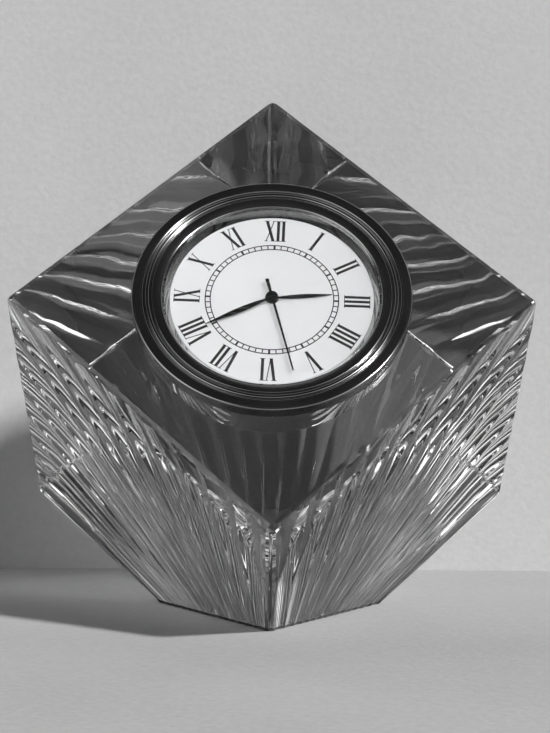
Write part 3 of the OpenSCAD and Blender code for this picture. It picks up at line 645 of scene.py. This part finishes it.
def leafPoints(hand):
    leaf = hands["leaf"]
    start, belly, length = hand["bore"] + leaf["gap"], hand["length"] * leaf["belly"], hand["length"]
    return [
        (leaf["root"], start, 0),
        (hand["width"] / 2, belly, leaf["rounding"]),
        (leaf["tip"], length, 0),
        (-leaf["tip"], length, 0),
        (-hand["width"] / 2, belly, leaf["rounding"]),
        (-leaf["root"], start, 0),
    ]


def needlePoints(hand):
    needle = hands["needle"]
    width, tail = hand["width"] / 2, needle["tailWidth"] / 2
    return [
        (width, needle["shoulder"], 0),
        (needle["tip"], hand["length"], 0.04),
        (-needle["tip"], hand["length"], 0.04),
        (-width, needle["shoulder"], 0),
        (-width, needle["neck"], 0),
        (-tail, needle["tail"], 0.1),
        (tail, needle["tail"], 0.1),
        (width, needle["neck"], 0),
    ]


for name in ("hour", "minute"):
    makeHand(name + "Leaf", hands[name], leafPoints(hands[name]), 0, name, name + "_hand")
second = hands["second"]
makeHand("secondNeedle", second, needlePoints(second), hands["boss"], "seconds", "second_hand")
print("hands made")

# Finishes of the pieces that keep the model's own shape
finishes = {
    "dial_white": makeFinish(
        "dialLacquer", "grain", (2500, 60), grey(0.86), grey(0.9), (0.38, 0.46), bump=0.0006
    ),
    "case_steel": makeFinish(
        "caseNickel", "lathe", (2600, 100), grey(0.42), grey(0.56), (0.22, 0.36), metal=1
    ),
    "clear_vinyl": makeFinish(
        "gasketVinyl", "grain", (1500, 120), grey(0.66), grey(0.76), (0.3, 0.42), bump=0.003
    ),
    "black_plastic": makeFinish(
        "mouldedBlack", "grain", (2200, 160), grey(0.02), grey(0.035), (0.42, 0.56), bump=0.006
    ),
    "brass": makeFinish(
        "gilt", "lathe", (9000, 200), (0.6, 0.4, 0.13), (0.76, 0.55, 0.22), (0.2, 0.32), metal=1
    ),
    "plate_brass": makeFinish(
        "plateBrass", "brush", (2600, 160), (0.5, 0.36, 0.14), (0.64, 0.48, 0.22), (0.26, 0.4), metal=1
    ),
    "white_plastic": makeFinish(
        "bobbinNylon", "grain", (1800, 200), (0.7, 0.68, 0.6), (0.78, 0.77, 0.7), (0.4, 0.5), bump=0.004
    ),
    "bright_steel": makeFinish(
        "brightSteel", "brush", (3000, 200), grey(0.55), grey(0.68), (0.14, 0.26), metal=1
    ),
    "magnetic_steel": makeFinish(
        "softIron", "brush", (2400, 200), grey(0.26), grey(0.36), (0.3, 0.42), metal=1
    ),
    "board_green": makeFinish(
        "boardLacquer", "grain", (1400, 300), (0.012, 0.09, 0.04), (0.03, 0.14, 0.06), (0.28, 0.4),
        bump=0.004,
    ),
    "copper_wire": makeFinish(
        "enamelledCopper", "lathe", (7000, 300), (0.36, 0.12, 0.04), (0.5, 0.19, 0.07), (0.24, 0.36),
        metal=1,
    ),
}
slotOf = {
    "insert_case": "case_steel", "gasket_band": "clear_vinyl", "rear_cover": "black_plastic",
    "battery_cap": "black_plastic", "setting_knob": "black_plastic", "chip_cover": "black_plastic",
    "main_plate": "plate_brass", "centre_bridge": "plate_brass", "train_bridge": "bright_steel",
    "plate_screws": "bright_steel", "quartz_can": "bright_steel", "coin_cell": "bright_steel",
    "setting_shaft": "bright_steel", "contact_positive": "bright_steel",
    "contact_negative": "bright_steel", "circuit_board": "board_green", "coil_core": "magnetic_steel",
    "stator": "magnetic_steel", "rotor": "magnetic_steel", "coil_bobbin": "white_plastic",
    "coil_winding": "copper_wire",
    "step_wheel": "brass", "seconds_wheel": "brass", "third_wheel": "brass", "centre_wheel": "brass",
    "cannon_pinion": "brass", "minute_wheel": "brass", "hour_wheel": "brass", "dial": "dial_white",
}
for name, slot in slotOf.items():
    materials = nodes[name].data.materials
    materials.clear()
    materials.append(finishes[slot])
print("finishes laid on", len(slotOf), "nodes")

# Stage: a pale floor, a backdrop close behind, two dark cards of painted shadow that only glass and
# metal show, and one soft sun lamp
stage = {
    "floorTone": (0.38, 0.43),
    "wallTone": (0.45, 0.5),
    "wallAt": 57,
    "size": 5000,
    "ambient": 0.04,
    "skyLow": (0.13, 0.5),  # height in the sky and strength
    "skyHigh": (0.24, 0.04),
    "key": {"from": (1680, -1860, 1800), "angle": 5, "strength": 4.6},
    # Painted reflections: bright patches in the world that glass and metal show, but that light nothing
    "paintedWindows": (
        {"towards": (-0.577, -0.666, 0.4), "inner": 22, "outer": 30, "strength": 1.8},
        {"towards": (0.6, -0.7, 0.2), "inner": 14, "outer": 20, "strength": 1.5},
    ),
    # Painted shadow: dark sheets that only glass and metal show, placed where the block's shadow falls
    # behind and under it
    "shadowCards": {
        "shadowCardBehind": {"place": (0, 50, 56), "size": (160, 112), "tilt": 90},
        "shadowCardUnder": {"place": (0, 10, 0.5), "size": (190, 140), "tilt": 0},
    },
}


def stageMaterial(name, tones, hideBack):
    low, high = (grey(tone) for tone in tones)
    material = makeFinish(name, "grain", (900, 25), low, high, (0.8, 0.9), bump=0.05)
    tree = material.node_tree
    shader = tree.nodes["Principled BSDF"]
    shader.inputs["Specular IOR Level"].default_value = 0
    if hideBack:  # seen from behind the backdrop isn't there
        clear = tree.nodes.new("ShaderNodeBsdfTransparent")
        facing = tree.nodes.new("ShaderNodeNewGeometry")
        mix = tree.nodes.new("ShaderNodeMixShader")
        tree.links.new(facing.outputs["Backfacing"], mix.inputs[0])
        tree.links.new(shader.outputs[0], mix.inputs[1])
        tree.links.new(clear.outputs[0], mix.inputs[2])
        tree.links.new(mix.outputs[0], tree.nodes["Material Output"].inputs["Surface"])
    return material


def stagePlane(name, matrix, material, onlyInGlass=False):
    bm = bmesh.new()
    bmesh.ops.create_grid(bm, x_segments=1, y_segments=1, size=0.5, matrix=matrix)
    obj = meshObject(bm, name)
    obj.data.materials.append(material)
    if onlyInGlass:
        obj.visible_camera = obj.visible_diffuse = obj.visible_shadow = False


# The light that fills shadows is even. The camera, metal and glass see a pale horizon, a dark sky above
# it and two soft windows in front. The windows are painted reflections: glass and metal show them, but
# they light nothing
def studioWorld():
    world = bpy.data.worlds.new("studio")
    world.use_nodes = True
    tree = world.node_tree
    background = tree.nodes["Background"]
    background.inputs[0].default_value = (1, 1, 1, 1)
    coords = tree.nodes.new("ShaderNodeTexCoord")
    split = tree.nodes.new("ShaderNodeSeparateXYZ")
    tree.links.new(coords.outputs["Generated"], split.inputs[0])
    sky = mixRange(tree, split.outputs["Z"], stage["skyLow"][1], stage["skyHigh"][1])
    sky.node.inputs["From Min"].default_value = stage["skyLow"][0]
    sky.node.inputs["From Max"].default_value = stage["skyHigh"][0]
    for paintedWindow in stage["paintedWindows"]:
        towards = Vector(paintedWindow["towards"]).normalized()
        facing = vectorNode(tree, "DOT_PRODUCT", coords.outputs["Generated"], towards)
        patch = mixRange(tree, facing, 0, paintedWindow["strength"])
        limits = patch.node.inputs
        limits["From Min"].default_value = math.cos(math.radians(paintedWindow["outer"]))
        limits["From Max"].default_value = math.cos(math.radians(paintedWindow["inner"]))
        sky = mathNode(tree, "MAXIMUM", sky, patch)
    rays = tree.nodes.new("ShaderNodeLightPath").outputs
    seen = mathNode(tree, "ADD", rays["Is Camera Ray"], rays["Is Glossy Ray"])
    seen = mathNode(tree, "ADD", seen, rays["Is Transmission Ray"], clamp=True)
    extra = mathNode(tree, "MULTIPLY", seen, mathNode(tree, "SUBTRACT", sky, stage["ambient"]))
    tree.links.new(mathNode(tree, "ADD", extra, stage["ambient"]), background.inputs[1])
    return world


def makeStage():
    size = stage["size"] * mm
    floorPaper = stageMaterial("floorPaper", stage["floorTone"], False)
    wallPaper = stageMaterial("wallPaper", stage["wallTone"], True)
    stagePlane("floor", Matrix.Scale(size, 4), floorPaper)
    upright = Matrix.Rotation(math.radians(90), 4, "X")
    lift = Matrix.Translation((0, stage["wallAt"] * mm, size / 2))
    stagePlane("backdrop", lift @ upright @ Matrix.Scale(size, 4), wallPaper)
    # Dark cards behind and under the block that only glass and metal show: painted shadow, dark sheets
    # standing in for the block's own shadow on the backdrop and floor behind and under it. They cast no
    # shadow and light nothing
    shadowPaint = makeFinish("paintedShadowCloth", "grain", (2000, 60), grey(0.05), grey(0.08), (0.8, 0.9), bump=0)
    for name, card in stage["shadowCards"].items():
        wide, high = (s * mm for s in card["size"])
        turn = Matrix.Rotation(math.radians(card["tilt"]), 4, "X")
        shape = Matrix.Diagonal((wide, high, 1, 1))
        place = Matrix.Translation(Vector(card["place"]) * mm)
        stagePlane(name, place @ turn @ shape, shadowPaint, True)
    # A sun lamp, which lights floor and backdrop evenly however large they are
    data = bpy.data.lights.new("keyLamp", "SUN")
    data.energy = stage["key"]["strength"]
    data.angle = math.radians(stage["key"]["angle"])
    lamp = bpy.data.objects.new("keyLamp", data)
    lamp.location = Vector(stage["key"]["from"]) * mm
    lamp.rotation_euler = (-lamp.location).to_track_quat("-Z", "Y").to_euler()
    scene.collection.objects.link(lamp)
    scene.world = studioWorld()


makeStage()
scene.view_settings.view_transform = "Standard"
scene.cycles.max_bounces = 24
scene.cycles.transmission_bounces = 24
scene.cycles.glossy_bounces = 12
scene.cycles.transparent_max_bounces = 24
print("stage set")
